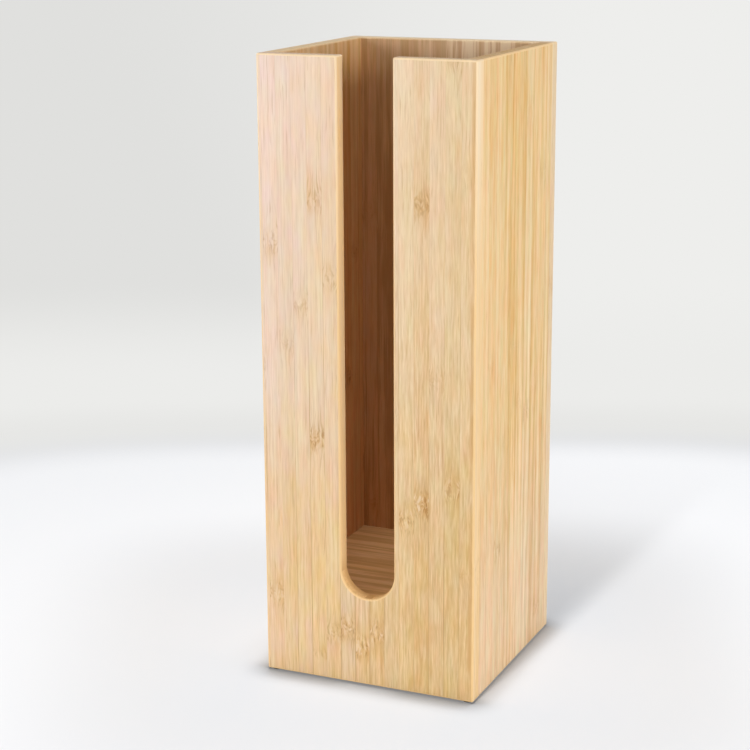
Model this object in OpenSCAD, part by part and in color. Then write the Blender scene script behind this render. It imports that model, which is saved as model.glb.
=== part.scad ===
// Upright open box of laminated bamboo board for spare toilet rolls.
// Millimetres. Z is up, the slot faces -Y, and the origin is on the ground at the middle of
// the plan. The front and back panels run the full width and cover the ends of the two side
// panels. The floor lies in a groove in each side panel, and blind dowels pin the corners.

/* [Body] */
// Overall width, left to right
body_w = 150; // [120:1:200]
// Overall depth, front to back
body_d = 150; // [120:1:200]
// Overall height above the ground, with the pads
body_h = 418; // [320:1:560]
// Thickness of the four wall panels
wall_t = 10; // [8:0.5:14]
// Radius of the sanded long edges
edge_r = 1.2; // [0.5:0.1:1.8]

/* [Slot] */
// Width of the slot, which is also the diameter of its round end
slot_w = 38; // [26:1:50]
// Height of the slot's lowest point above the ground
slot_low_z = 62; // [50:1:100]

/* [Floor] */
// Thickness of the floor panel
floor_t = 8; // [6:0.5:10]
// How far the floor's top lies below the slot's lowest point
floor_drop = 1; // [0:0.5:6]
// Depth of the groove in each side panel
groove_depth = 4; // [2:0.5:5]
// Clearance above the floor in its groove and at each of its four edges
floor_gap = 0.2; // [0.1:0.05:0.4]

/* [Dowels] */
// Diameter of a dowel
dowel_d = 5; // [4:0.5:6]
// Length of a dowel
dowel_l = 20; // [16:1:28]
// Length of the bevel at each end of a dowel
dowel_bevel = 0.6; // [0.3:0.1:1]
// Wood left between a dowel hole and the outer face
dowel_cover = 3.5; // [2.5:0.5:4.5]
// Dowels above the floor in each corner joint
upper_rows = 4; // [2:1:6]
// Distance from the floor and from the rim to the nearest upper dowel
row_margin = 28; // [16:1:40]
// Glue film round a dowel, on the radius
dowel_film = 0.05; // [0.02:0.01:0.1]
// Free length left for glue at each end of a dowel
dowel_end_gap = 0.5; // [0.2:0.1:1]

/* [Pads] */
// Diameter of a foot pad
pad_d = 7; // [5:0.5:7]
// Thickness of a foot pad
pad_t = 1; // [0.8:0.1:2]
// Bevel round the underside of a foot pad
pad_bevel = 0.3; // [0.1:0.1:0.4]

/* [Hidden] */

board_color = [0.91, 0.79, 0.61];
side_color = [0.90, 0.76, 0.55];
floor_color = [0.80, 0.65, 0.45];
dowel_color = [0.85, 0.72, 0.50];
pad_color = [0.30, 0.27, 0.24];

half_w = body_w / 2;
half_d = body_d / 2;
inner_half_w = half_w - wall_t;
inner_half_d = half_d - wall_t;
wall_h = body_h - pad_t;

slot_r = slot_w / 2;
slot_centre_z = slot_low_z + slot_r;

floor_top_z = slot_low_z - floor_drop;
floor_low_z = floor_top_z - floor_t;

hole_r = dowel_d / 2 + dowel_film;
cross_hole_l = wall_t - dowel_cover;
dowel_in_cross = cross_hole_l - dowel_end_gap;
side_hole_l = dowel_l - dowel_in_cross + dowel_end_gap;
joint_x = half_w - wall_t / 2;

low_row_z = (pad_t + floor_low_z) / 2;
first_row_z = floor_top_z + row_margin;
last_row_z = body_h - row_margin;
row_step = (last_row_z - first_row_z) / (upper_rows - 1);
upper_row_z = [for (k = [0 : upper_rows - 1]) first_row_z + k * row_step];
row_z = concat([low_row_z], upper_row_z);

over = 1;
fine = 32;
round_fn = 96;

// Section that rounds an edge: wood fills the +X +Y quarter and its sharp edge is the origin.
module edge_section() {
    difference() {
        translate([-over, -over])
            square(edge_r + over);
        translate([edge_r, edge_r])
            circle(edge_r, $fn = fine);
    }
}

// Rounds an edge along +Z, for wood in the +X +Y quarter.
module edge_z(length, past = over) {
    translate([0, 0, -past])
        linear_extrude(length + past + over)
            edge_section();
}

// Rounds an edge along +X, for wood in the +Y -Z quarter.
module edge_x(length) {
    rotate([0, 90, 0])
        edge_z(length);
}

// Rounds an edge along +Y, for wood in the +X -Z quarter.
module edge_y(length) {
    rotate([-90, 0, 0])
        edge_z(length);
}

// Draws its children on the right and, mirrored, on the left.
module both_sides() {
    children();
    mirror([1, 0, 0])
        children();
}

// Draws its children at the top of the walls and, mirrored, at their foot.
module top_and_foot() {
    translate([0, 0, body_h])
        children();
    translate([0, 0, pad_t])
        mirror([0, 0, 1])
            children();
}

// Draws its children on the front face of the front panel and, mirrored, on its back face.
module both_faces() {
    translate([0, -half_d, 0])
        children();
    translate([0, -inner_half_d, 0])
        mirror([0, 1, 0])
            children();
}

// The holes of one corner joint, front right: one depth in the front panel, one in the side.
module joint_holes() {
    for (z = row_z)
        translate([joint_x, -inner_half_d, z]) {
            rotate([90, 0, 0])
                cylinder(h = cross_hole_l, r = hole_r, $fn = fine);
            rotate([-90, 0, 0])
                cylinder(h = side_hole_l, r = hole_r, $fn = fine);
        }
}

// Full-width board at the front, with its outer edges and the inside of its rim rounded.
module cross_board() {
    difference() {
        translate([-half_w, -half_d, pad_t])
            cube([body_w, wall_t, wall_h]);
        both_sides()
            translate([-half_w, -half_d, pad_t])
                edge_z(wall_h);
        top_and_foot() {
            translate([-half_w, -half_d, 0])
                edge_x(body_w);
            both_sides()
                translate([-half_w, -half_d, 0])
                    edge_y(wall_t);
        }
        intersection() {
            translate([-half_w, -inner_half_d, body_h])
                mirror([0, 1, 0])
                    edge_x(body_w);
            translate([-inner_half_w, -half_d, 0])
                cube([2 * inner_half_w, body_d, body_h + over]);
        }
        both_sides()
            joint_holes();
    }
}

// The slot itself: straight sides from the rim down to a half-round end.
module slot_cut() {
    translate([0, -inner_half_d + over, 0])
        rotate([90, 0, 0])
            linear_extrude(wall_t + 2 * over)
                union() {
                    translate([0, slot_centre_z])
                        circle(slot_r, $fn = round_fn);
                    translate([-slot_r, slot_centre_z])
                        square([slot_w, body_h - slot_centre_z + over]);
                }
}

// Rounds the slot's edges: both faces, round end, and the two corners at the rim.
module slot_edges() {
    both_faces() {
        both_sides()
            translate([slot_r, 0, slot_centre_z])
                edge_z(body_h - slot_centre_z, 0);
        translate([0, 0, slot_centre_z])
            rotate([-90, 0, 0])
                rotate_extrude(angle = 180, $fn = round_fn)
                    translate([slot_r, 0])
                        edge_section();
    }
    both_sides()
        translate([slot_r, -half_d, body_h])
            edge_y(wall_t);
}

module front_panel() {
    color(board_color)
        difference() {
            cross_board();
            slot_cut();
            slot_edges();
        }
}

module back_panel() {
    color(board_color)
        mirror([0, 1, 0])
            cross_board();
}

// Board between the front and back panels, on the right.
module side_board() {
    difference() {
        translate([inner_half_w, -inner_half_d, pad_t])
            cube([wall_t, 2 * inner_half_d, wall_h]);
        top_and_foot()
            translate([half_w, -inner_half_d, 0])
                mirror([1, 0, 0])
                    edge_y(2 * inner_half_d);
        translate([inner_half_w, -inner_half_d, body_h])
            edge_y(2 * inner_half_d);
        translate([inner_half_w - over, -half_d, floor_low_z])
            cube([groove_depth + over, body_d, floor_t + floor_gap]);
        joint_holes();
        mirror([0, 1, 0])
            joint_holes();
    }
}

module right_panel() {
    color(side_color)
        side_board();
}

module left_panel() {
    color(side_color)
        mirror([1, 0, 0])
            side_board();
}

// Rests on the lower faces of the two grooves.
module floor_panel() {
    floor_w = 2 * (inner_half_w + groove_depth - floor_gap);
    floor_d = 2 * (inner_half_d - floor_gap);
    color(floor_color)
        translate([-floor_w / 2, -floor_d / 2, floor_low_z])
            cube([floor_w, floor_d, floor_t]);
}

// One dowel along +Z, bevelled at both ends.
module dowel() {
    rotate_extrude($fn = fine)
        polygon([
            [0, 0],
            [dowel_d / 2 - dowel_bevel, 0],
            [dowel_d / 2, dowel_bevel],
            [dowel_d / 2, dowel_l - dowel_bevel],
            [dowel_d / 2 - dowel_bevel, dowel_l],
            [0, dowel_l]
        ]);
}

module front_right_dowels() {
    for (z = row_z)
        translate([joint_x, -inner_half_d - dowel_in_cross, z])
            rotate([-90, 0, 0])
                dowel();
}

module corner_dowels() {
    color(dowel_color)
        both_sides() {
            front_right_dowels();
            mirror([0, 1, 0])
                front_right_dowels();
        }
}

// One pad, bevelled round its underside.
module pad() {
    rotate_extrude($fn = fine)
        polygon([
            [0, 0],
            [pad_d / 2 - pad_bevel, 0],
            [pad_d / 2, pad_bevel],
            [pad_d / 2, pad_t],
            [0, pad_t]
        ]);
}

// Under the ends of the front and back panels, in the middle of their thickness.
module foot_pads() {
    color(pad_color)
        for (x = [-1, 1], y = [-1, 1])
            translate([x * joint_x, y * (half_d - wall_t / 2), 0])
                pad();
}

front_panel();
back_panel();
left_panel();
right_panel();
floor_panel();
corner_dowels();
foot_pads();
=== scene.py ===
"""Upright open bamboo box for spare toilet rolls: its boards, dowels, foot pads and studio."""

import math
import random

import bmesh
import bpy
from mathutils import Matrix, Vector


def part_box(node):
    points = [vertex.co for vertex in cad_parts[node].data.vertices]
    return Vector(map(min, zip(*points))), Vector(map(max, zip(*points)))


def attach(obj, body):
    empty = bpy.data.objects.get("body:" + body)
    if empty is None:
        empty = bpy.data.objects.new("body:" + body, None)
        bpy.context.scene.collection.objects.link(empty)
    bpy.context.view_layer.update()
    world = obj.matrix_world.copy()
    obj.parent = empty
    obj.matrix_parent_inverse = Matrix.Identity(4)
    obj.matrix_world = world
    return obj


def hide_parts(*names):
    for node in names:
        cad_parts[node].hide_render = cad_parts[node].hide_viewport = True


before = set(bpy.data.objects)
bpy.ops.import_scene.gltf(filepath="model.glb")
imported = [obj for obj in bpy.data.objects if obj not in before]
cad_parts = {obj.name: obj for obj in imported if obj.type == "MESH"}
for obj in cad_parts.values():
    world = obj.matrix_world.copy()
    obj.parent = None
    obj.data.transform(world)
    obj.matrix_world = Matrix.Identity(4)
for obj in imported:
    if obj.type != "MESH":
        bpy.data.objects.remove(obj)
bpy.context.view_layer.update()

bl_info = {
    "name": "Bamboo Roll Box",
    "version": (1, 0, 0),
    "blender": (4, 5, 0),
    "location": "View3D > Sidebar > Roll Box",
    "description": "Builds an open bamboo box with a slotted front, with its studio",
    "category": "Object",
}

MM = 0.001
BODY = "root"

# Corners of each piece's box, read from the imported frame.
FRONT_LOW, FRONT_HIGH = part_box("front_panel")
BACK_LOW, BACK_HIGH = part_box("back_panel")
LEFT_LOW, LEFT_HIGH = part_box("left_panel")
RIGHT_LOW, RIGHT_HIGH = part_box("right_panel")
FLOOR_LOW, FLOOR_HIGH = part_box("floor_panel")
DOWELS_LOW, DOWELS_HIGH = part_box("corner_dowels")
PADS_LOW, PADS_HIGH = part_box("foot_pads")
RIM_Z = FRONT_HIGH.z
FOOT_Z = FRONT_LOW.z
INNER_X = RIGHT_LOW.x
INNER_Y = RIGHT_HIGH.y


# ---------------------------------------------------------------- settings


def distance(name, description, default, low, high):
    """A length, given in millimetres."""
    return bpy.props.FloatProperty(
        name=name, description=description, default=default * MM, min=low * MM,
        max=high * MM, subtype="DISTANCE", unit="LENGTH")


def paint(name, description, default):
    """A linear red, green and blue tone."""
    return bpy.props.FloatVectorProperty(
        name=name, description=description, default=default, size=3, min=0, max=1,
        subtype="COLOR")


def watts(name, description, default, high=200):
    """The power of a lamp."""
    return bpy.props.FloatProperty(
        name=name, description=description, default=default, min=0, max=high,
        subtype="POWER", unit="POWER")


class BoxSizes(bpy.types.PropertyGroup):
    """Sizes of the woodwork that the frame's boxes do not give."""

    slot_width: distance(
        "Slot Width", "Width of the front slot and diameter of its round end", 38, 20, 60)
    slot_low: distance(
        "Slot Low Point", "Height of the slot's lowest point above the ground", 62, 40, 120)
    arris: distance(
        "Arris Radius", "Radius of the sanded outer edges, the rim and the slot", 1.2, 0.4, 2)
    joint_ease: distance(
        "Joint Ease", "Small bevel on edges that meet another board", 0.22, 0.1, 0.5)
    groove_depth: distance(
        "Groove Depth", "Depth of the groove that holds the inner floor", 4, 2, 5)
    groove_play: distance(
        "Groove Play", "Free height above the inner floor in its groove", 0.2, 0.1, 0.4)
    dowel_bevel: distance("Dowel Bevel", "Bevel at each end of a dowel", 0.6, 0.3, 1)
    dowel_flute: distance(
        "Dowel Flute", "Depth of the glue flutes round a dowel", 0.18, 0.05, 0.4)
    pad_dish: distance(
        "Pad Dish", "Depth of the shallow dish under a foot pad", 0.15, 0.05, 0.3)


class BambooFinish(bpy.types.PropertyGroup):
    """Tones of the bamboo, from the palest strip to the darkest mark."""

    # Fibre and amber are also laid on as painted shade on inner faces, amber also at the slot's
    # low end and beside the right arris; cream as a painted sheen on high edges, arrises and rims,
    # and as painted light inside.
    pale: paint("Pale Strip", "Tone of the palest strips", (0.900, 0.705, 0.480))
    middle: paint("Middle Strip", "Tone of most of the board", (0.820, 0.590, 0.335))
    honey: paint("Honey Strip", "Tone of the darker strips", (0.710, 0.450, 0.200))
    sanded: paint(
        "Sanded Edge", "Tone of sanded arrises and sawn long edges", (0.970, 0.655, 0.305))
    cream: paint(
        "Cream Edge", "Tone of the bleached edges near the rim", (0.980, 0.780, 0.530))
    fibre: paint("Fibre", "Tone of the dark fibre streaks", (0.500, 0.270, 0.090))
    knot: paint("Node Mark", "Tone of the darkest part of a node mark", (0.430, 0.205, 0.050))
    amber: paint(
        "Node Smudge", "Tone of the soft smudge round a node mark", (0.660, 0.365, 0.125))


class StudioSettings(bpy.types.PropertyGroup):
    """Lamps, floor and camera."""

    shadow_power: watts(
        "Shadow Power", "Power of the strip lamp that lights only the floor", 33, 400)
    floor_power: watts(
        "Floor Power", "Power of the high lamp that lights only the floor", 158, 400)
    overhead_power: watts(
        "Overhead Power", "Power of the lamp straight above the box", 14)
    front_power: watts(
        "Front Power", "Power of the tall lamp in front, on the left", 17)
    right_power: watts("Right Power", "Power of the low lamp on the right", 17.4)
    back_power: watts("Back Power", "Power of the low lamp behind the box", 11)
    left_power: watts("Left Power", "Power of the low lamp on the left", 3.5)
    room_light: bpy.props.FloatProperty(
        name="Room Light", description="Strength of the even light from all round",
        default=0.20, min=0, max=2)
    lens: bpy.props.FloatProperty(
        name="Lens", description="Focal length of the camera, in millimetres",
        default=91.64, min=20, max=200)
    floor_tone: bpy.props.FloatProperty(
        name="Floor Tone", description="Brightness of the pale floor",
        default=0.61, min=0, max=1, subtype="FACTOR")
    floor_lift: bpy.props.FloatProperty(
        name="Floor Lift", description="Extra brightness of the floor for the camera",
        default=0.16, min=0, max=0.5, subtype="FACTOR")


# ------------------------------------------------------------ modelling tools

SHARP = math.radians(50)      # an edge that turns more than this can be rounded
SMOOTH = math.radians(38)     # one that turns less than this is shaded smooth
FLAT = 0.995                  # the least share of a flat face's normal along one axis
WELD = 0.002 * MM             # corners closer than this are merged
PAST = 5 * MM                 # how far a cutter runs past the face that it cuts
SNUG = 0.02 * MM              # two places closer than this are taken for one
MM2 = MM * MM                 # for the areas of faces


def deselect_all():
    if bpy.context.object and bpy.context.object.mode != "OBJECT":
        bpy.ops.object.mode_set(mode="OBJECT")
    bpy.ops.object.select_all(action="DESELECT")


def pick(piece):
    """Makes one piece the only one selected, and active."""
    deselect_all()
    piece.select_set(True)
    bpy.context.view_layer.objects.active = piece


def settle(piece, name):
    """Names a new piece and puts its place, turn and size in its mesh."""
    pick(piece)
    bpy.ops.object.transform_apply(location=True, rotation=True, scale=True)
    piece.name = name
    piece.data.name = name
    return piece


def add_block(name, low, high):
    """A square-edged block between two corners."""
    deselect_all()
    low, high = Vector(low), Vector(high)
    bpy.ops.mesh.primitive_cube_add(size=1, location=(low + high) / 2)
    block = bpy.context.object
    block.scale = high - low
    return settle(block, name)


def add_round(name, middle, radius, length, axis, sides):
    """A round bar about a point, lying along an axis."""
    deselect_all()
    turn = {"X": (0, math.pi / 2, 0), "Y": (math.pi / 2, 0, 0), "Z": (0, 0, 0)}[axis]
    bpy.ops.mesh.primitive_cylinder_add(
        vertices=sides, radius=radius, depth=length, location=middle, rotation=turn)
    return settle(bpy.context.object, name)


def choose(piece, kind, test):
    """In edit mode, selects the faces, edges or vertices that pass a test."""
    mesh = bmesh.from_edit_mesh(piece.data)
    for part in (*mesh.verts, *mesh.edges, *mesh.faces):
        part.select = False
    found = [part for part in getattr(mesh, kind) if test(part)]
    for part in found:
        part.select = True
    mesh.select_flush_mode()
    bmesh.update_edit_mesh(piece.data)
    return len(found)


def shape_mode(piece, kind):
    """Opens a piece in edit mode, for work on its faces, edges or vertices."""
    pick(piece)
    bpy.ops.object.mode_set(mode="EDIT")
    bpy.ops.mesh.select_mode(type=kind)


def apply_modifier(piece, kind, **settings):
    pick(piece)
    modifier = piece.modifiers.new(kind.title(), kind)
    for name, value in settings.items():
        setattr(modifier, name, value)
    bpy.ops.object.modifier_apply(modifier=modifier.name)


def cut(piece, cutter):
    """Takes a cutter's shape out of a piece, and removes the cutter."""
    apply_modifier(piece, "BOOLEAN", operation="DIFFERENCE", solver="EXACT", object=cutter)
    bpy.data.objects.remove(cutter, do_unlink=True)


def middle_of(edge):
    return (edge.verts[0].co + edge.verts[1].co) / 2


def run_of(edge):
    return (edge.verts[1].co - edge.verts[0].co).normalized()


def near(a, b):
    return abs(a - b) < SNUG


def is_sharp(edge):
    return len(edge.link_faces) == 2 and edge.calc_face_angle(0) > SHARP


def ease(piece, radius, segments, test):
    """Rounds the sharp edges that pass a test."""
    shape_mode(piece, "EDGE")
    if not choose(piece, "edges", lambda e: is_sharp(e) and test(e)):
        raise RuntimeError("no edge of " + piece.name + " to round")
    bpy.ops.mesh.bevel(
        offset=radius, offset_type="OFFSET", segments=segments, profile=0.5,
        affect="EDGES", clamp_overlap=False)
    bpy.ops.object.mode_set(mode="OBJECT")


def slice_at(piece, point, normal):
    """Adds a loop of edges where a plane crosses a piece."""
    shape_mode(piece, "FACE")
    bpy.ops.mesh.select_all(action="SELECT")
    bpy.ops.mesh.bisect(plane_co=point, plane_no=normal)
    bpy.ops.object.mode_set(mode="OBJECT")


def join(name, parts):
    """Joins parts into one mesh."""
    deselect_all()
    for part in parts:
        part.select_set(True)
    bpy.context.view_layer.objects.active = parts[0]
    bpy.ops.object.join()
    parts[0].name = name
    return parts[0]


def mark_faces(piece, grain_axis, face_axis):
    """Records, for the finish, which faces are arrises, long cut edges and end grain."""
    mesh = piece.data
    across = 3 - grain_axis - face_axis
    arris = mesh.attributes.new("arris", "FLOAT", "FACE")
    edge = mesh.attributes.new("long_edge", "FLOAT", "FACE")
    grain = mesh.attributes.new("end_grain", "FLOAT", "FACE")
    for face in mesh.polygons:
        normal = [abs(value) for value in face.normal]
        arris.data[face.index].value = 1.0 if max(normal) < FLAT else 0.0
        edge.data[face.index].value = normal[across] ** 2
        grain.data[face.index].value = normal[grain_axis] ** 2


def smooth(piece):
    """Merges doubles, turns normals out, and shades arrises smooth beside flat faces."""
    shape_mode(piece, "VERT")
    bpy.ops.mesh.select_all(action="SELECT")
    bpy.ops.mesh.remove_doubles(threshold=WELD)
    bpy.ops.mesh.normals_make_consistent(inside=False)
    bpy.ops.object.mode_set(mode="OBJECT")

    def at_fan(edge):
        """Whether the edge parts a large face from a triangle where an arris runs out."""
        faces = sorted(edge.link_faces, key=lambda face: face.calc_area())
        return (len(faces) == 2 and len(faces[0].verts) == 3
                and faces[0].calc_area() < 0.5 * MM2 and faces[1].calc_area() > 20 * MM2)

    shape_mode(piece, "EDGE")
    if choose(piece, "edges", at_fan):
        bpy.ops.mesh.mark_sharp()
    bpy.ops.object.mode_set(mode="OBJECT")
    pick(piece)
    bpy.ops.object.shade_smooth_by_angle(angle=SMOOTH)
    apply_modifier(piece, "WEIGHTED_NORMAL", mode="FACE_AREA", weight=100, keep_sharp=True)


def fit(piece, node, finish):
    """Gives a piece its finish and its place in the frame."""
    piece.data.materials.clear()
    piece.data.materials.append(finish)
    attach(piece, BODY)
    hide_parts(node)


def fit_board(board, grain_axis, face_axis, node, finish):
    """Smooths and marks a board, and gives it its finish and its place in the frame."""
    smooth(board)
    mark_faces(board, grain_axis, face_axis)
    fit(board, node, finish)


# --------------------------------------------------------------- node tools


def shade(level):
    """The linear value of a shade given from 0 to 255."""
    level = level / 255
    return level / 12.92 if level <= 0.04045 else ((level + 0.055) / 1.055) ** 2.4


def tone(red, green, blue):
    return (shade(red), shade(green), shade(blue), 1.0)


def put(tree, kind, **settings):
    node = tree.nodes.new("ShaderNode" + kind)
    for name, value in settings.items():
        setattr(node, name, value)
    return node


def feed(tree, socket, value):
    """Links or sets a socket."""
    if isinstance(value, Field):
        value = value.socket
    if isinstance(value, bpy.types.NodeSocket):
        tree.links.new(value, socket)
    else:
        socket.default_value = value


class Field:
    """A number that varies over a surface, for sums written plainly."""

    def __init__(self, tree, socket):
        self.tree = tree
        self.socket = socket

    def work(self, operation, *values, clamp=False):
        node = put(self.tree, "Math", operation=operation, use_clamp=clamp)
        for socket, value in zip(node.inputs, values):
            feed(self.tree, socket, value)
        return Field(self.tree, node.outputs[0])

    def __add__(self, other):
        return self.work("ADD", self, other)

    def __sub__(self, other):
        return self.work("SUBTRACT", self, other)

    def __rsub__(self, other):
        return self.work("SUBTRACT", other, self)

    def __mul__(self, other):
        return self.work("MULTIPLY", self, other)

    def __truediv__(self, other):
        return self.work("DIVIDE", self, other)

    def __abs__(self):
        return self.work("ABSOLUTE", self)

    __radd__ = __add__

    def floor(self):
        return self.work("FLOOR", self)

    def nearest(self):
        return self.work("ROUND", self)

    def kept(self):
        """Held between 0 and 1."""
        return self.work("ADD", self, 0.0, clamp=True)

    def eased(self, low, high, start=0.0, end=1.0):
        """Goes smoothly from start to end as this goes from low to high."""
        node = put(self.tree, "MapRange", interpolation_type="SMOOTHSTEP")
        for socket, each in zip(node.inputs, (self, low, high, start, end)):
            feed(self.tree, socket, each)
        return Field(self.tree, node.outputs[0])


def blend_tones(tree, amount, first, second):
    node = put(tree, "Mix", data_type="RGBA", blend_type="MIX", clamp_factor=True)
    feed(tree, node.inputs[0], amount)
    feed(tree, node.inputs[6], first)
    feed(tree, node.inputs[7], second)
    return node.outputs[2]


def shift_tone(tree, tone_in, amount, shift):
    """Adds an amount of a red, green and blue shift to a tone."""
    node = put(tree, "VectorMath", operation="MULTIPLY_ADD")
    feed(tree, node.inputs[0], amount)
    node.inputs[1].default_value = shift
    feed(tree, node.inputs[2], tone_in)
    return node.outputs[0]


def place(tree, x, y, z):
    node = put(tree, "CombineXYZ")
    for socket, value in zip(node.inputs, (x, y, z)):
        feed(tree, socket, value)
    return node.outputs[0]


def noise(tree, vector, scale, detail=1.0, roughness=0.5):
    """Noise centred on 0, whose grain is set for each direction in features per metre."""
    mapped = put(tree, "VectorMath", operation="MULTIPLY")
    feed(tree, mapped.inputs[0], vector)
    mapped.inputs[1].default_value = scale
    node = put(tree, "TexNoise", noise_dimensions="3D")
    feed(tree, node.inputs["Vector"], mapped.outputs[0])
    node.inputs["Scale"].default_value = 1.0
    node.inputs["Detail"].default_value = detail
    node.inputs["Roughness"].default_value = roughness
    return Field(tree, node.outputs["Fac"]) - 0.5


def face_mark(tree, name):
    node = put(tree, "Attribute", attribute_type="GEOMETRY", attribute_name=name)
    return Field(tree, node.outputs["Fac"])


def blank_finish(name):
    """An empty material and its node tree."""
    material = bpy.data.materials.new(name)
    material.use_nodes = True
    material.node_tree.nodes.clear()
    return material, material.node_tree


def close_finish(tree, surface):
    output = put(tree, "OutputMaterial")
    feed(tree, output.inputs["Surface"], surface.outputs[0])


def close_solid(tree, colour, roughness, height, strength, depth, constants):
    """Ends a material with its surface, on which a height field catches the light."""
    surface = put(tree, "BsdfPrincipled")
    feed(tree, surface.inputs["Base Color"], colour)
    feed(tree, surface.inputs["Roughness"], roughness)
    for name, value in constants.items():
        surface.inputs[name].default_value = value
    relief = put(tree, "Bump")
    relief.inputs["Strength"].default_value = strength
    relief.inputs["Distance"].default_value = depth
    feed(tree, relief.inputs["Height"], height)
    feed(tree, surface.inputs["Normal"], relief.outputs[0])
    close_finish(tree, surface)


# ----------------------------------------------------------------- finishes

# Each strip of a board: its tone from pale 0 to honey 1, the height of one node mark and
# the distance to the next, both in millimetres, and how strong the marks are.
FRONT_STRIPS = (
    (0.45, 210, 330, 0.3),
    (0.35, 298, 241, 0.65),
    (0.50, 232, 330, 0.2),
    (0.42, 258, 290, 0.35),
    (0.36, 327, 158, 0.8),
    (0.46, 277, 243, 0.55),
    (0.40, 39, 330, 0.8),
    (0.44, 27, 345, 0.8),
    (0.52, 40, 345, 0.7),
    (0.50, 190, 345, 0.2),
    (0.40, 121, 330, 0.7),
    (0.66, 132, 197, 1.0),
    (0.52, 216, 330, 0.3),
    (0.60, 146, 275, 0.6),
    (0.55, 88, 260, 0.2),
)
SIDE_STRIPS = (
    (0.30, 92, 310, 0.15),
    (0.50, 223, 330, 0.15),
    (0.38, 93, 345, 0.55),
    (0.55, 163, 250, 0.15),
    (0.66, 225, 345, 0.15),
    (0.50, 186, 300, 0.20),
    (0.34, 174, 203, 0.35),
    (0.46, 191, 330, 0.20),
    (0.52, 334, 310, 0.40),
    (0.60, 334, 330, 0.15),
)
# The side boards are more golden, with long streaks.
SIDE_LOOK = {"rosy": 0.65, "golden": 0.78, "strip_depth": 0.7, "streak_depth": 1.75,
             "fleck_depth": 0.85, "rose_depth": 1.6, "gold_depth": 0.6,
             "streak_grain": (190, 190, 4.5), "rim": 0.55, "calm": 0.5}
LONGEST = 500  # millimetres that a chart value of 1 stands for


def random_strips(count, seed):
    """Strips for a board that the front view does not show."""
    draw = random.Random(seed)
    return tuple(
        (round(draw.uniform(0.35, 0.62), 2), draw.randint(20, 400),
         draw.randint(190, 330), round(draw.uniform(0.3, 0.9), 2))
        for _ in range(count))


def strip_chart(tree, number, strips):
    """Looks up a strip's tone, node height, node spacing and strength by its number."""
    count = len(strips)
    node = put(tree, "ValToRGB")
    ramp = node.color_ramp
    ramp.interpolation = "CONSTANT"
    while len(ramp.elements) < count:
        ramp.elements.new(0.5)
    for index in range(count):
        ramp.elements[index].position = index / count
    for index, (level, height, spacing, strength) in enumerate(strips):
        ramp.elements[index].color = (level, height / LONGEST, spacing / LONGEST, strength)
    feed(tree, node.inputs[0], (number + 0.5) / count)
    parts = put(tree, "SeparateColor")
    feed(tree, parts.inputs[0], node.outputs["Color"])
    level, height, spacing = (Field(tree, socket) for socket in parts.outputs)
    strength = Field(tree, node.outputs["Alpha"])
    return level, height * (LONGEST * MM), spacing * (LONGEST * MM), strength


ROSY = (0.035, -0.050, -0.040)   # what one unit of rosiness adds to a tone
GOLDEN = (0.010, 0.016, -0.080)  # the same for gold
SHADY = (-0.32, -0.26, -0.15)    # the same for shade without a change of hue
INNER_FACE = 0.0652              # half the clear width between the boards, and a little


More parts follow.
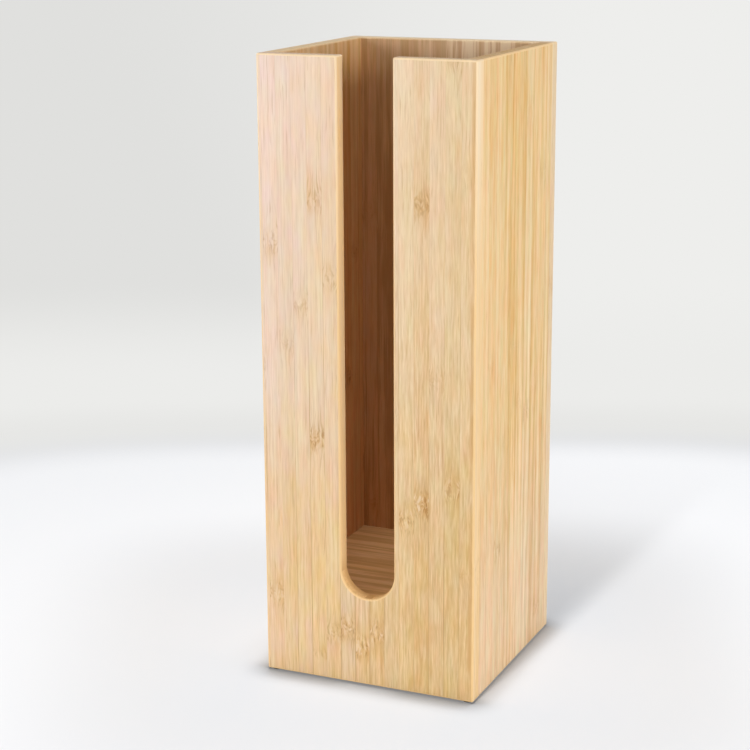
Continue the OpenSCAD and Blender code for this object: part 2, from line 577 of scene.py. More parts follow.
def bamboo(name, strips, pitch, start, across, along, through, warmth=0.0, rosy=0.0,
           golden=0.0, strip_depth=0.45, streak_depth=0.72, fleck_depth=0.95, rose_depth=1.1,
           gold_depth=1.0, streak_grain=(740, 560, 8.0), sheen_and_grain=0.0, rim=0.30, rim_sheen=0.0, inner_shade=1.0,
           edge=0.9, inner_light=0.0, calm=0.0):
    """Lacquered bamboo board, edge-glued from strips that run along the board.

    across, along and through are the indices of the board's own directions. pitch is the
    width of a strip and start the place of the first joint. warmth shifts all tones towards
    honey, rosy and golden shift their hue. The depths say how much the strips, the long
    streaks, the short flecks and the two hues vary. streak_grain is the number of streaks in a
    metre in the board's three directions. fade paints a sheen on the board, paler at its
    upper left and more golden at its lower left, and also changes how strong its flecks and
    streaks are from left to right. rim says how dark its end grain is, and bleach how much
    paler its end grain is painted, a painted sheen. age says how much painted shade darkens
    its inner face, and edge how fresh its long edges are. sunned says how much painted light
    makes the top of its inner face paler, towards the positive side, or with a minus towards
    the other. calm says how much weaker its streaks are on the negative side.
    """
    looks = bpy.context.scene.bamboo_finish
    pale, middle, honey = (*looks.pale, 1), (*looks.middle, 1), (*looks.honey, 1)
    sanded, fibre_tone = (*looks.sanded, 1), (*looks.fibre, 1)
    knot_tone, amber, cream = (*looks.knot, 1), (*looks.amber, 1), (*looks.cream, 1)
    material, tree = blank_finish(name)

    def lay(amount, over):
        """Lays some of a tone over the colour so far."""
        nonlocal colour
        colour = blend_tones(tree, amount, colour, over)

    coordinates = put(tree, "TexCoord").outputs["Object"]
    parts = put(tree, "SeparateXYZ")
    feed(tree, parts.inputs[0], coordinates)
    # Places on the board in metres: s across it, g along its grain and t through it. Upright
    # boards have g 0 on the ground, and the middle of the plan is s 0 and t 0.
    s, g, t = (Field(tree, parts.outputs[axis]) for axis in (across, along, through))

    # Strip number, and the place across the strip from 0 to 1.
    strip_place = (s - start) / pitch
    number = strip_place.floor()
    share = strip_place - number
    level, node_height, node_spacing, node_strength = strip_chart(tree, number, strips)
    node_strength = node_strength * g.eased(0.012, 0.021)

    # Each strip takes its grain from a part of the noise of its own.
    own_s, own_g = s + number * 0.0377, g + number * 1.913
    straight = place(tree, own_s, t, own_g)
    # Distance along the grain from the nearest node of this strip.
    ripple = noise(tree, straight, (210, 210, 40), 1.0)
    rise = g + ripple * 0.0070 - node_height
    off_node = rise - (rise / node_spacing).nearest() * node_spacing
    away = abs(off_node)
    halo = away.eased(0.0300, 0.0030) * node_strength

    # Fibres wander a little, and swerve at a node.
    sway = noise(tree, straight, (140, 140, 26), 1.0) * 0.0022
    swing = noise(tree, straight, (260, 260, 80), 1.0) * (halo * 0.0040 + 0.0010)
    spread = (share - 0.5) * away.eased(0.0, 0.0140) * 0.0040
    grain = place(tree, own_s + sway + swing + spread, t + sway, own_g)

    cloud = noise(tree, coordinates, (14, 14, 6), 1.0)
    patch = noise(tree, grain, (230, 170, 20), 1.0)
    streak = noise(tree, grain, streak_grain, 2.0, 0.6)
    fleck = noise(tree, grain, (700, 540, 70.0), 2.0, 0.6)
    fibre = noise(tree, grain, (2100, 1600, 70.0), 2.0, 0.6)
    bundle = noise(tree, grain, (1150, 900, 42.0), 1.0, 0.5)
    broad = noise(tree, grain, (95, 95, 2.5), 1.0)

    # The culm's outer side, at one edge of a strip, is denser in fibres.
    dense = share.eased(0.25, 1.0)

    # Tone of the wood, from pale to honey.
    # The tilt of the painted sheen's gradient, palest at the board's upper left.
    slope = (g - 0.19) - s * 1.6
    value = level * strip_depth + (0.50 + warmth - 0.45 * strip_depth)
    value = value + cloud * 0.35 + patch * 0.16 + broad * (streak_depth * 0.30)
    if sheen_and_grain:
        fleck = fleck * s.eased(-0.03, 0.03, 0.60, 1.20)
        streak = streak * s.eased(-0.03, 0.03, 1.35, 1.05)
    if calm:
        streak = streak * s.eased(-0.050, -0.008, 1.0 - calm, 1.0 + 0.3 * calm)
    detail = streak * streak_depth + fleck * fleck_depth + fibre * 0.34
    detail = detail * g.eased(0.30, 0.16, 1.0, 1.35)
    value = value + detail * 0.6
    value = value + (dense - 0.4) * 0.05 + halo * 0.16
    # Painted sheen: the board is paler towards its upper left, with a darker patch low on its
    # left.
    if sheen_and_grain:
        value = value - slope * sheen_and_grain
        low_left = s.eased(0.0, -0.04) * g.eased(0.18, 0.09)
        value = value + low_left * g.eased(0.03, 0.07, -0.02, 0.05)
    wood = put(tree, "ValToRGB")
    ramp = wood.color_ramp
    ramp.elements[0].position, ramp.elements[0].color = 0.0, pale
    ramp.elements[1].position, ramp.elements[1].color = 1.0, honey
    ramp.elements.new(0.5).color = middle
    feed(tree, wood.inputs[0], value)
    colour = shift_tone(tree, wood.outputs["Color"], detail * 0.4, SHADY)

    # Strips and patches lean to rose or to gold.
    strip_key = place(tree, number * 3.17 + 0.4, 0.3, 0.7)
    rose = noise(tree, grain, (135, 100, 48.0), 1.0) * (1.6 * rose_depth)
    rose = rose + noise(tree, strip_key, (1, 1, 1), 0.0) * (0.8 * rose_depth)
    # Inner faces are made rosier and less golden, as part of their painted shade.
    facing_in = abs(t).eased(INNER_FACE + 0.0006, INNER_FACE)
    rose = rose + g.eased(0.02, 0.20, 0.35, 1.0) * rosy + facing_in * 0.6
    strip_key = place(tree, number * 2.71 + 0.2, 5.3, 0.7)
    gold = noise(tree, place(tree, own_s, own_g, t), (125, 48.0, 100), 1.0) * (1.25 * gold_depth)
    gold = gold + noise(tree, strip_key, (1, 1, 1), 0.0) * (0.9 * gold_depth)
    if sheen_and_grain:
        gold = gold * s.eased(-0.02, 0.02, 1.35, 0.70)
        rose = rose * s.eased(-0.02, 0.02, 0.95, 0.88)
    gold = gold + g.eased(0.02, 0.20, 0.0, 1.0) * golden - facing_in * (0.25 - 0.15 * inner_shade)
    if sheen_and_grain:
        # The painted sheen makes the lower left of the board more golden, and the middle less
        # rosy.
        gold = gold - (slope + (0.05 - s) * g.eased(0.05, 0.28, 1.0, 5.0)) * sheen_and_grain
        mid_left = s.eased(0.0, -0.04) * g.eased(0.13, 0.21) * g.eased(0.36, 0.27)
        gold = gold + low_left * g.eased(0.03, 0.08) * (0.3 * sheen_and_grain)
        rose = rose + (low_left * 0.22 - mid_left * 0.2) * sheen_and_grain
    colour = shift_tone(tree, colour, rose, ROSY)
    colour = shift_tone(tree, colour, gold, GOLDEN)

    # Dark fibre bundles, more of them on the dense side and round a node.
    bundles = (bundle - (0.15 - dense * 0.05 - halo * 0.09)).eased(0.0, 0.12)
    lay(bundles * (0.45 * fleck_depth), fibre_tone)

    # A node is an amber smudge with short dark and pale strokes and a broken double line.
    mottle = noise(tree, grain, (380, 300, 110.0), 2.0, 0.6)
    stroke = noise(tree, grain, (640, 500, 140.0), 2.0, 0.6)
    smudge = away.eased(0.0140, 0.0010) * node_strength * mottle.eased(-0.14, 0.10)
    lay(smudge * g.eased(0.34, 0.16, 0.45, 0.75), amber)
    # Marks are crisp low on the board and soft higher up.
    crisp = g.eased(0.36, 0.20, 0.40, 1.0)
    core = away.eased(0.0120, 0.0030) * node_strength * crisp
    pale_strokes = core * stroke.eased(-0.03, -0.14)
    dark_strokes = core * stroke.eased(0.03, 0.15)
    lay(pale_strokes * 0.60, pale)
    lay(dark_strokes * 0.85, knot_tone)
    wave = noise(tree, straight, (330, 300, 60.0), 1.0) * 0.006
    off_line = abs(off_node + wave)
    broken = node_strength * mottle.eased(-0.02, 0.10) * crisp
    scar = abs(off_line - 0.0014).eased(0.0009, 0.0003) * broken
    lay(scar * 0.40, knot_tone)
    lay(off_line.eased(0.0011, 0.0004) * broken * 0.35, pale)

    # Glue lines between the strips, stronger here and fainter there.
    joint = abs(share - 0.5)
    line = ((0.5 - joint) * pitch).eased(0.00040, 0.00012)
    joint_place = place(tree, strip_place.nearest() * 3.71, t, g)
    line = line * noise(tree, joint_place, (1.0, 60, 7.0), 2.0).eased(-0.14, 0.22, 0.02, 1.0)
    line = line * g.eased(0.34, 0.14, 0.20, 0.85)
    lay(line, fibre_tone)

    # Inner faces get painted shade, amber with dark mottles, less of it near the rim, where it is
    # painted lighter. Sawn long edges are fresh and pale, and arrises pale.
    long_edge, end_grain = face_mark(tree, "long_edge"), face_mark(tree, "end_grain")
    arris = face_mark(tree, "arris")
    inside = facing_in * inner_shade * g.eased(0.42, 0.36, 0.55, 1.0)
    deep = (broad * 5.5 + patch * 3.0 + streak * 3.0 + 0.38).kept()
    lay(inside * 0.55, amber)
    lay(inside * deep * 0.75, fibre_tone)
    # Painted light: the top of an inner face is paler towards one side, as if light fell in from
    # above.
    if inner_light:
        inner_light_mask = (s * math.copysign(1.0, inner_light)).eased(-0.045, 0.020) * g.eased(0.30, 0.40)
        inner_light_mask = facing_in * inner_light_mask * (1.25 - deep)
        lay(inner_light_mask * abs(inner_light), cream)
    fresh = long_edge * streak.eased(-0.15, 0.15, edge, edge * 0.55)
    lay(fresh, sanded)
    # The slot's low round end is laid with amber: partly its own golden tone, partly painted
    # shade.
    slot_end = (long_edge + end_grain) * abs(s).eased(0.030, 0.020) * g.eased(0.092, 0.068)
    lay(slot_end * 0.85, amber)
    outer_edge = long_edge * abs(s).eased(0.045, 0.060)
    near_corner = abs(t).eased(0.0665, 0.0735)
    high = g.eased(0.26, 0.40)
    lay(outer_edge * (near_corner * 0.24), pale)
    # High on the front board its long edges are paler still: a painted sheen.
    lay(outer_edge * high * (near_corner * (0.60 * sheen_and_grain) + 0.40 * sheen_and_grain), cream)
    pores = bundle.eased(0.0, 0.16)
    lay(end_grain * rim, fibre_tone)
    lay(end_grain * pores * 0.6, fibre_tone)
    # The back and left boards' end grain is painted paler: a painted sheen on their rims.
    if rim_sheen:
        lay(end_grain * rim_sheen, cream)
    # Painted shade: brown dashes on the face next to the right arris of the front and back boards.
    edge_shade = s.eased(0.0708, 0.0724) * (1.0 - arris) * (1.0 - long_edge)
    edge_shade = edge_shade * noise(tree, coordinates, (60, 60, 24), 2.0).eased(-0.12, 0.10)
    lay(edge_shade * g.eased(0.36, 0.24, 0.50, 0.60), amber)
    # Arrises are paler, more on the outer side, and paler still high up, where it is a painted
    # sheen.
    rub = streak.eased(-0.20, 0.12, 0.40, 0.75) * abs(t).eased(0.068, 0.072, 0.25, 1.0)
    lay(arris * rub, sanded)
    lay(arris * high * (0.15 + 0.40 * sheen_and_grain), cream)

    roughness = (0.46 + streak * 0.22 + bundles * 0.10 + end_grain * 0.16).kept()
    # Open fibres, glue lines and the nodes stand a little in or out.
    height = fibre * 0.5 - bundles * 0.5 - line * 1.2 - dark_strokes * 0.25
    height = height + pale_strokes * 0.2 - end_grain * pores * 0.8
    close_solid(tree, colour, roughness, height, 0.35, 0.12 * MM, {
        "Specular IOR Level": 0.34, "Coat Weight": 0.08, "Coat Roughness": 0.28})
    return material


def turned_wood(name):
    """Bare pale dowel rod, with its grain along Y."""
    material, tree = blank_finish(name)
    place_of = put(tree, "TexCoord").outputs["Object"]
    rays = noise(tree, place_of, (900, 60, 900), 3.0, 0.6)
    flecks = noise(tree, place_of, (3200, 420, 3200))
    cloud = noise(tree, place_of, (60, 40, 60))
    colour = blend_tones(
        tree, 0.55 + rays * 0.9 + cloud * 0.5, tone(226, 196, 152), tone(196, 152, 102))
    colour = blend_tones(tree, flecks.eased(0.12, 0.24, 0.0, 0.5), colour, tone(140, 96, 58))
    close_solid(tree, colour, 0.70 + rays * 0.25, rays, 0.4, 0.1 * MM, {})
    return material


def pad_rubber(name):
    """Matt dark brown rubber with a fine pebbled skin and dust on it."""
    material, tree = blank_finish(name)
    place_of = put(tree, "TexCoord").outputs["Object"]
    pebble = noise(tree, place_of, (5200, 5200, 5200))
    dusty = noise(tree, place_of, (700, 700, 700), 3.0, 0.6).eased(-0.02, 0.25)
    colour = blend_tones(tree, 0.5 + pebble, tone(66, 60, 54), tone(92, 85, 77))
    colour = blend_tones(tree, dusty * 0.4, colour, tone(150, 143, 132))
    close_solid(tree, colour, 0.78 + dusty * 0.15, pebble, 0.5, 0.08 * MM,
                {"Specular IOR Level": 0.3})
    return material


# ------------------------------------------------------------------- pieces

X, Y, Z = 0, 1, 2
ARRIS_SEGMENTS = 5
BORE_SIDES = 32
SLOT_SIDES = 96
TURNED_SIDES = 48             # for a dowel and a pad
SLOT_BAR = 30 * MM            # length of the bar that cuts the slot
FLOOR_ARRIS = 0.4 * MM
DOWEL_RADIUS = 2.5 * MM
DOWEL_LENGTH = 20 * MM
DOWEL_FILM = 0.05 * MM        # the glue round a dowel
DOWEL_END_GAP = 0.5 * MM      # the free length at each end of a dowel
DOWEL_X = DOWELS_HIGH.x - DOWEL_RADIUS
DOWEL_ENDS = (DOWELS_LOW.y, DOWELS_LOW.y + DOWEL_LENGTH)
ROW_GAP = 2.2 * MM            # corners of one dowel are closer in height than this
PAD_RADIUS = 3.5 * MM
PAD_ARRIS = 0.3 * MM
PAD_EDGE = 0.9 * MM           # width of the flat ring round the dish under a pad
PAD_SLOPE = 0.25 * MM         # width of the dish's sloping side


def dowel_rows():
    """Heights of the dowels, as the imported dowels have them."""
    heights = sorted({round(v.co.z, 4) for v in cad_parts["corner_dowels"].data.vertices})
    rows, group = [], [heights[0]]
    for value in heights[1:]:
        if value - group[-1] > ROW_GAP:
            rows.append((group[0] + group[-1]) / 2)
            group = []
        group.append(value)
    rows.append((group[0] + group[-1]) / 2)
    return rows


DOWEL_ROWS = dowel_rows()


def drill_bits(name, columns, low_y, high_y):
    """Bars that drill the dowel holes of a board, one for each row and column."""
    middle, length = (low_y + high_y) / 2, high_y - low_y
    bits = [
        add_round("bit", (x, middle, z), DOWEL_RADIUS + DOWEL_FILM, length, "Y", BORE_SIDES)
        for x in columns for z in DOWEL_ROWS]
    return join(name, bits)


def slot_cutter(sizes):
    """The slot's shape: a round bar whose upper half is drawn out past the rim."""
    radius = sizes.slot_width / 2
    centre = Vector((0, (FRONT_LOW.y + FRONT_HIGH.y) / 2, sizes.slot_low + radius))
    cutter = add_round("slot", centre, radius, SLOT_BAR, "Y", SLOT_SIDES)
    shape_mode(cutter, "FACE")
    choose(cutter, "faces", lambda f: f.normal.z > 0.01 and abs(f.normal.y) < 0.5)
    bpy.ops.mesh.extrude_region_move(
        TRANSFORM_OT_translate={"value": (0, 0, RIM_Z - centre.z + PAST)})
    bpy.ops.object.mode_set(mode="OBJECT")
    return cutter


def full_width_board(name, low, high, inner_y, sizes, slotted):
    """A board that runs the full width and covers the ends of the side boards."""
    board = add_block(name, low, high)
    if slotted:
        cut(board, slot_cutter(sizes))
    for x in (-INNER_X, INNER_X):
        slice_at(board, (x, 0, 0), (1, 0, 0))

    def rounded(edge):
        """All edges but the inner face's at the foot and along the side boards."""
        at = middle_of(edge)
        left_square = abs(at.x) > INNER_X - SNUG or near(at.z, FOOT_Z)
        return not (left_square and near(at.y, inner_y))

    ease(board, sizes.arris, ARRIS_SEGMENTS, rounded)

    def at_joint(edge):
        at = middle_of(edge)
        return near(at.y, inner_y) and near(abs(at.x), high.x) and abs(run_of(edge).z) > 0.9

    ease(board, sizes.joint_ease, 1, at_joint)

    inward = 1 if inner_y < 0 else -1
    depth = FRONT_HIGH.y - DOWEL_ENDS[0] + DOWEL_END_GAP
    ends = sorted((inner_y + inward * PAST, inner_y - inward * depth))
    cut(board, drill_bits("bits", (-DOWEL_X, DOWEL_X), *ends))
    return board


class OBJECT_OT_front_board(bpy.types.Operator):
    """Add the front board, with its slot"""

    bl_idname = "object.roll_box_front_board"
    bl_label = "Front Board"

    def execute(self, context):
        sizes = context.scene.box_sizes
        board = full_width_board(
            "front_board", FRONT_LOW, FRONT_HIGH, FRONT_HIGH.y, sizes, True)
        finish = bamboo(
            "bamboo_front", FRONT_STRIPS, pitch=10.55 * MM, start=-82.85 * MM, across=X,
            along=Z, through=Y, sheen_and_grain=1.0, strip_depth=0.58, rim=0.22)
        fit_board(board, Z, Y, "front_panel", finish)
        return {"FINISHED"}


class OBJECT_OT_back_board(bpy.types.Operator):
    """Add the back board"""

    bl_idname = "object.roll_box_back_board"
    bl_label = "Back Board"

    def execute(self, context):
        sizes = context.scene.box_sizes
        board = full_width_board(
            "back_board", BACK_LOW, BACK_HIGH, BACK_LOW.y, sizes, False)
        finish = bamboo(
            "bamboo_back", random_strips(13, seed=7), pitch=12 * MM, start=-77.5 * MM,
            across=X, along=Z, through=Y, strip_depth=0.8, rose_depth=1.5, rim=0.0,
            rim_sheen=0.75, inner_shade=0.92, edge=0.2, inner_light=0.78)
        fit_board(board, Z, Y, "back_panel", finish)
        return {"FINISHED"}


def side_board(name, low, high, side, sizes):
    """A board between the front and back boards. side is 1 on the right, -1 on the left."""
    board = add_block(name, low, high)
    outer_x = side * FRONT_HIGH.x

    def rounded(edge):
        at = middle_of(edge)
        return abs(run_of(edge).y) > 0.9 and (near(at.z, RIM_Z) or near(at.x, outer_x))

    ease(board, sizes.arris, ARRIS_SEGMENTS, rounded)

    def at_joint(edge):
        return near(middle_of(edge).x, outer_x) and abs(run_of(edge).z) > 0.9

    ease(board, sizes.joint_ease, 1, at_joint)

    inner_x = side * INNER_X
    groove_x = sorted((inner_x - side * PAST, inner_x + side * sizes.groove_depth))
    cut(board, add_block(
        "groove", (groove_x[0], low.y - PAST, FLOOR_LOW.z),
        (groove_x[1], high.y + PAST, FLOOR_HIGH.z + sizes.groove_play)))
    reach = DOWEL_ENDS[1] - FRONT_HIGH.y + DOWEL_END_GAP
    for end in (-1, 1):
        face_y = end * INNER_Y
        ends = sorted((face_y + end * PAST, face_y - end * reach))
        cut(board, drill_bits("bits", (side * DOWEL_X,), *ends))
    return board


class OBJECT_OT_side_boards(bpy.types.Operator):
    """Add the left and right boards, with the grooves for the inner floor"""

    bl_idname = "object.roll_box_side_boards"
    bl_label = "Side Boards"

    def execute(self, context):
        sizes = context.scene.box_sizes
        right = side_board("right_board", RIGHT_LOW, RIGHT_HIGH, 1, sizes)
        finish = bamboo(
            "bamboo_right", SIDE_STRIPS, pitch=13.5 * MM, start=-65.6 * MM, across=Y,
            along=Z, through=X, **SIDE_LOOK)
        fit_board(right, Z, X, "right_panel", finish)
        left = side_board("left_board", LEFT_LOW, LEFT_HIGH, -1, sizes)
        finish = bamboo(
            "bamboo_left", random_strips(11, seed=23), pitch=12.5 * MM, start=-66 * MM,
            across=Y, along=Z, through=X,
            **dict(SIDE_LOOK, rim=0.3, rim_sheen=0.45, inner_shade=0.2, inner_light=-0.18))
        fit_board(left, Z, X, "left_panel", finish)
        return {"FINISHED"}


class OBJECT_OT_floor_board(bpy.types.Operator):
    """Add the inner floor that lies in the grooves of the side boards"""

    bl_idname = "object.roll_box_floor_board"
    bl_label = "Inner Floor"

    def execute(self, context):
        board = add_block("floor_board", FLOOR_LOW, FLOOR_HIGH)
        ease(board, FLOOR_ARRIS, 3, lambda edge: True)
        finish = bamboo(
            "bamboo_floor", random_strips(12, seed=41), pitch=11.5 * MM, start=-66 * MM,
            across=Y, along=X, through=Z, warmth=0.10)
        fit_board(board, X, Z, "floor_panel", finish)
        return {"FINISHED"}


def fluted_dowel(name, sizes):
    """One dowel at the front right, lowest row: bevelled ends and glue flutes."""
    middle = Vector((DOWEL_X, sum(DOWEL_ENDS) / 2, DOWEL_ROWS[0]))
    dowel = add_round(name, middle, DOWEL_RADIUS, DOWEL_LENGTH, "Y", TURNED_SIDES)
    ease(dowel, sizes.dowel_bevel, 1, lambda edge: abs(run_of(edge).y) < 0.5)
    shape_mode(dowel, "VERT")

    def in_flute(vertex):
        out = Vector((vertex.co.x - middle.x, vertex.co.z - middle.z))
        step = math.atan2(out.y, out.x) / (2 * math.pi) * TURNED_SIDES
        return out.length > DOWEL_RADIUS - SNUG and round(step) % 2 == 1

    choose(dowel, "verts", in_flute)
    share = 1 - sizes.dowel_flute / DOWEL_RADIUS
    bpy.ops.transform.resize(value=(share, 1, share), center_override=middle)
    bpy.ops.object.mode_set(mode="OBJECT")
    return dowel


def copy_to(piece, name, mirror_x, mirror_y, offset):
    """A copy of a piece with its own mesh, mirrored and moved."""
    pick(piece)
    bpy.ops.object.duplicate()
    copy = bpy.context.object
    copy.data.transform(Matrix.Translation(offset))
    copy.data.transform(Matrix.Diagonal((mirror_x, mirror_y, 1, 1)))
    if mirror_x * mirror_y < 0:
        copy.data.flip_normals()
    copy.name = name
    copy.data.name = name
    return copy


class OBJECT_OT_corner_dowels(bpy.types.Operator):
    """Add the blind dowels of the four corner joints"""

    bl_idname = "object.roll_box_corner_dowels"
    bl_label = "Corner Dowels"

    def execute(self, context):
        first = fluted_dowel("corner_dowel_01", context.scene.box_sizes)
        smooth(first)
        finish = turned_wood("dowel_wood")
        dowels = [first]
        for row in DOWEL_ROWS:
            for side in (1, -1):
                for end in (1, -1):
                    rise = Vector((0, 0, row - DOWEL_ROWS[0]))
                    if rise.length == 0 and side == 1 and end == 1:
                        continue
                    name = f"corner_dowel_{len(dowels) + 1:02d}"
                    dowels.append(copy_to(first, name, side, end, rise))
        for dowel in dowels:
            fit(dowel, "corner_dowels", finish)
        return {"FINISHED"}


def dished_pad(name, sizes):
    """One pad at the front right: rounded rim and a shallow dish underneath."""
    middle = Vector((PADS_HIGH.x - PAD_RADIUS, PADS_LOW.y + PAD_RADIUS,
                     (PADS_LOW.z + PADS_HIGH.z) / 2))
    thickness = PADS_HIGH.z - PADS_LOW.z
    pad = add_round(name, middle, PAD_RADIUS, thickness, "Z", TURNED_SIDES)
    ease(pad, PAD_ARRIS, 4, lambda edge: near(middle_of(edge).z, PADS_LOW.z))
    shape_mode(pad, "FACE")
    choose(pad, "faces", lambda f: f.normal.z < -0.9 and f.calc_area() > 4 * MM2)
    bpy.ops.mesh.inset(thickness=PAD_EDGE)
    bpy.ops.mesh.inset(thickness=PAD_SLOPE, depth=-sizes.pad_dish)
    bpy.ops.object.mode_set(mode="OBJECT")
    return pad


class OBJECT_OT_foot_pads(bpy.types.Operator):
    """Add the four foot pads"""

    bl_idname = "object.roll_box_foot_pads"
    bl_label = "Foot Pads"

    def execute(self, context):
        first = dished_pad("foot_pad_1", context.scene.box_sizes)
        smooth(first)
        finish = pad_rubber("pad_rubber")
        pads = [first]
        for side, end in ((-1, 1), (1, -1), (-1, -1)):
            name = f"foot_pad_{len(pads) + 1}"
            pads.append(copy_to(first, name, side, end, Vector()))
        for pad in pads:
            fit(pad, "foot_pads", finish)
        return {"FINISHED"}


# ------------------------------------------------------------------- studio

# The camera of the picture, found from the box's corners: metres and degrees.
CAMERA_PLACE = (0.4858, -1.1581, 0.5220)
CAMERA_YAW = 23.88
CAMERA_DOWN = 14.48
CAMERA_ROLL = -0.30


def seen_rays(tree):
    """1 for rays that show the studio itself: straight, mirrored or through glass."""
    path = put(tree, "LightPath")
    straight = Field(tree, path.outputs["Is Camera Ray"])
    return (straight + path.outputs["Is Glossy Ray"]
            + path.outputs["Is Transmission Ray"]).kept()


def pale_floor(settings):
    """A pale floor that takes the box's shadow, and turns into a plain backdrop further out."""
    deselect_all()
    bpy.ops.mesh.primitive_plane_add(size=60, location=(0, 0, 0))
    ground = settle(bpy.context.object, "ground")
    material, tree = blank_finish("pale_ground")
    place_of = put(tree, "TexCoord").outputs["Object"]
    original = put(tree, "SeparateXYZ")
    feed(tree, original.inputs[0], place_of)
    turned = put(tree, "VectorRotate", rotation_type="Z_AXIS")
    feed(tree, turned.inputs["Vector"], place_of)
    turned.inputs["Angle"].default_value = -math.radians(CAMERA_YAW)
    parts = put(tree, "SeparateXYZ")
    feed(tree, parts.inputs[0], turned.outputs[0])
    aside, ahead = (Field(tree, parts.outputs[axis]) for axis in (X, Y))
    # The backdrop stands round the box in a square with round corners.
    aside_2, ahead_2 = aside * aside, ahead * ahead
    fourth = aside_2 * aside_2 + ahead_2 * ahead_2
    out = fourth.work("POWER", fourth, 0.25)
    seen = seen_rays(tree)

    # How open the floor is within 23 mm of a place, for the contact shadow.
    near_box = put(tree, "AmbientOcclusion", samples=8)
    near_box.inputs["Distance"].default_value = 23 * MM
    # The contact shadow is deepest along the front.
    depth = Field(tree, original.outputs[Y]).eased(-0.060, -0.076, 0.22, 0.53)
    openness = Field(tree, near_box.outputs["AO"])
    open_floor = 1.0 - openness.eased(1.02, 0.48) * depth
    paper = put(tree, "BsdfDiffuse")
    level = settings.floor_tone
    feed(tree, paper.inputs["Color"], blend_tones(
        tree, open_floor, (0, 0, 0, 1), (level * 0.958, level * 0.972, level, 1)))
    lift = put(tree, "Emission")
    # Close to the box the glow is cooler, which makes up for the warm light off the wood.
    feed(tree, lift.inputs["Color"], blend_tones(
        tree, out.eased(0.20, 0.09) * openness.eased(0.60, 0.95), (0.985, 0.988, 1, 1),
        (0.700, 0.830, 1, 1)))
    bright_band = out.eased(0.17, 0.32) * out.eased(0.54, 0.44) * aside.eased(
        -0.30, 0.20, 0.12, 0.16)
    glow = open_floor * (bright_band + settings.floor_lift) + openness.eased(0.45, 0.20, 0.0, 0.16)
    feed(tree, lift.inputs["Strength"], seen * glow)
    both = put(tree, "AddShader")
    feed(tree, both.inputs[0], paper.outputs[0])
    feed(tree, both.inputs[1], lift.outputs[0])

    backdrop = put(tree, "Emission")
    sideways = (aside / out).eased(-0.20, 0.16)
    high = blend_tones(tree, sideways, tone(224, 224, 222), tone(238, 238, 236))
    low = blend_tones(tree, out.eased(0.56, 0.68), tone(231, 231, 229), tone(236, 236, 234))
    feed(tree, backdrop.inputs["Color"], blend_tones(tree, out.eased(0.75, 1.30), low, high))
    either = put(tree, "MixShader")
    feed(tree, either.inputs[0], out.eased(0.48, 0.57) * seen)
    feed(tree, either.inputs[1], both.outputs[0])
    feed(tree, either.inputs[2], backdrop.outputs[0])
    close_finish(tree, either)
    ground.data.materials.append(material)
    return ground


def room_light(settings):
    """Even light from all round, and a pale backdrop for the camera."""
    world = bpy.data.worlds.new("studio")
    bpy.context.scene.world = world
    world.use_nodes = True
    tree = world.node_tree
    tree.nodes.clear()
    light = put(tree, "Background")
    light.inputs["Color"].default_value = (1, 1, 1, 1)
    light.inputs["Strength"].default_value = settings.room_light
    backdrop = put(tree, "Background")
    backdrop.inputs["Color"].default_value = tone(232, 232, 230)
    either = put(tree, "MixShader")
    feed(tree, either.inputs[0], seen_rays(tree))
    feed(tree, either.inputs[1], light.outputs[0])
    feed(tree, either.inputs[2], backdrop.outputs[0])
    output = put(tree, "OutputWorld")
    feed(tree, output.inputs["Surface"], either.outputs[0])


def add_softbox(name, stand, target, width, height, power):
    """A soft rectangular lamp that faces a point. The camera does not see it."""
    deselect_all()
    bpy.ops.object.light_add(type="AREA", location=stand)
    lamp = bpy.context.object
    lamp.name = name
    lamp.data.shape = "RECTANGLE"
    lamp.data.size = width
    lamp.data.size_y = height
    lamp.data.energy = power
    lamp.visible_camera = False
    aim = Vector(target) - Vector(stand)
    lamp.rotation_euler = aim.to_track_quat("-Z", "Y").to_euler()
    return lamp


def flag(lamps, piece, state):
    """Lets lamps light one piece only (INCLUDE), or all but that piece (EXCLUDE)."""
    group = bpy.data.collections.new("floor_" + state.lower())
    group.objects.link(piece)
    group.collection_objects[0].light_linking.link_state = state
    for lamp in lamps:
        lamp.light_linking.receiver_collection = group


def add_camera(settings):
    """The camera at the picture's angle."""
    deselect_all()
    bpy.ops.object.camera_add(location=CAMERA_PLACE)
    camera = bpy.context.object
    camera.name = "camera"
    camera.data.sensor_width = 36
    camera.data.lens = settings.lens
    camera.data.clip_start = 0.05
    camera.data.clip_end = 100
    turn = (
        Matrix.Rotation(math.radians(CAMERA_YAW), 4, "Z")
        @ Matrix.Rotation(math.radians(90 - CAMERA_DOWN), 4, "X")
        @ Matrix.Rotation(math.radians(CAMERA_ROLL), 4, "Z"))
    camera.rotation_euler = turn.to_euler()
    bpy.context.scene.camera = camera


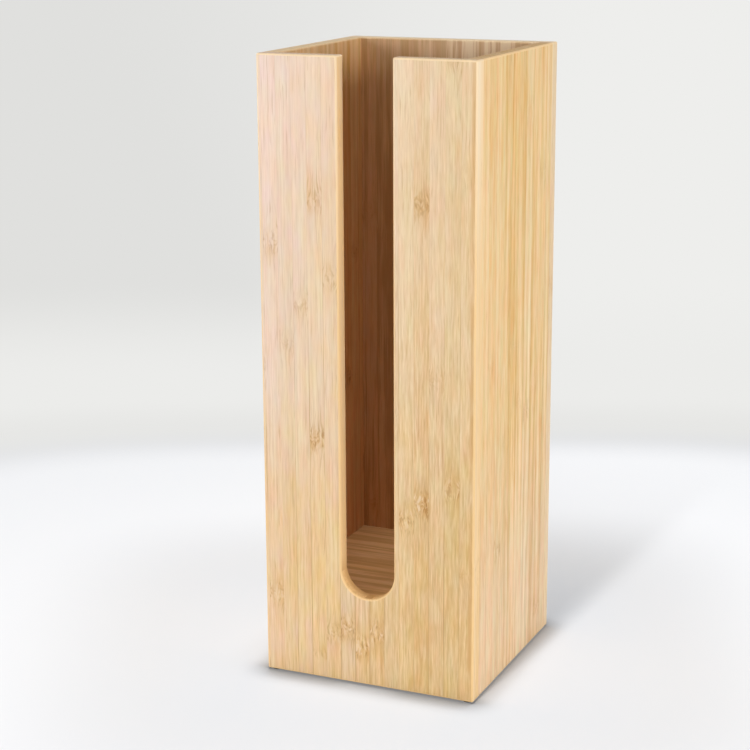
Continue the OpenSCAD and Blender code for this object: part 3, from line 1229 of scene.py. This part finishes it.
class OBJECT_OT_studio(bpy.types.Operator):
    """Add the pale floor, the soft lamps and the camera"""

    bl_idname = "object.roll_box_studio"
    bl_label = "Studio"

    def execute(self, context):
        settings = context.scene.studio_settings
        context.scene.view_settings.view_transform = "Standard"
        ground = pale_floor(settings)
        room_light(settings)
        # Two lamps are flagged off from all but the floor: a tall strip that casts the
        # shadow, and one from high above. The other lamps are flagged off from the floor.
        floor_lamps = (
            add_softbox("floor_strip", (0.020, -0.77, 2.30), (0.075, -0.075, 0), 0.09, 1.70,
                        settings.shadow_power),
            add_softbox("floor_fill", (0, 0, 6.0), (0, 0, 0), 0.25, 0.25,
                        settings.floor_power))
        low, waist = 0.22, 0.2
        box_lamps = (
            add_softbox("overhead", (0.0, -0.05, 2.40), (0, 0, 0.2), 0.5, 0.5,
                        settings.overhead_power),
            add_softbox("front_left", (-1.15, -1.35, 0.50), (0, 0, waist), 0.9, 0.95,
                        settings.front_power),
            add_softbox("right", (1.58, -0.60, 0.50), (0, 0, waist), 0.9, 0.60,
                        settings.right_power),
            add_softbox("left", (-1.68, 0.30, low), (0, 0, waist), 0.9, 0.36,
                        settings.left_power),
            add_softbox("back", (-0.70, 1.55, low), (0, 0, waist), 0.9, 0.36,
                        settings.back_power))
        flag(floor_lamps, ground, "INCLUDE")
        flag(box_lamps, ground, "EXCLUDE")
        add_camera(settings)
        return {"FINISHED"}


# ------------------------------------------------------------------ add-on


PIECES = (
    OBJECT_OT_front_board,
    OBJECT_OT_back_board,
    OBJECT_OT_side_boards,
    OBJECT_OT_floor_board,
    OBJECT_OT_corner_dowels,
    OBJECT_OT_foot_pads,
    OBJECT_OT_studio,
)


class VIEW3D_PT_roll_box(bpy.types.Panel):
    """Lists the pieces of the roll box and the settings they are built from"""

    bl_label = "Roll Box"
    bl_idname = "VIEW3D_PT_roll_box"
    bl_space_type = "VIEW_3D"
    bl_region_type = "UI"
    bl_category = "Roll Box"

    def draw(self, context):
        layout = self.layout
        for group in ("box_sizes", "bamboo_finish", "studio_settings"):
            settings = getattr(context.scene, group)
            column = layout.box().column()
            for name in settings.__annotations__:
                column.prop(settings, name)
        column = layout.column()
        for piece in PIECES:
            column.operator(piece.bl_idname)


CLASSES = (BoxSizes, BambooFinish, StudioSettings, *PIECES, VIEW3D_PT_roll_box)


def register():
    for each in CLASSES:
        bpy.utils.register_class(each)
    scene = bpy.types.Scene
    scene.box_sizes = bpy.props.PointerProperty(type=BoxSizes)
    scene.bamboo_finish = bpy.props.PointerProperty(type=BambooFinish)
    scene.studio_settings = bpy.props.PointerProperty(type=StudioSettings)


def unregister():
    scene = bpy.types.Scene
    del scene.studio_settings
    del scene.bamboo_finish
    del scene.box_sizes
    for each in reversed(CLASSES):
        bpy.utils.unregister_class(each)


def main():
    register()
    bpy.ops.object.roll_box_front_board()
    bpy.ops.object.roll_box_back_board()
    bpy.ops.object.roll_box_side_boards()
    bpy.ops.object.roll_box_floor_board()
    bpy.ops.object.roll_box_corner_dowels()
    bpy.ops.object.roll_box_foot_pads()
    bpy.ops.object.roll_box_studio()


if __name__ == "__main__":
    main()
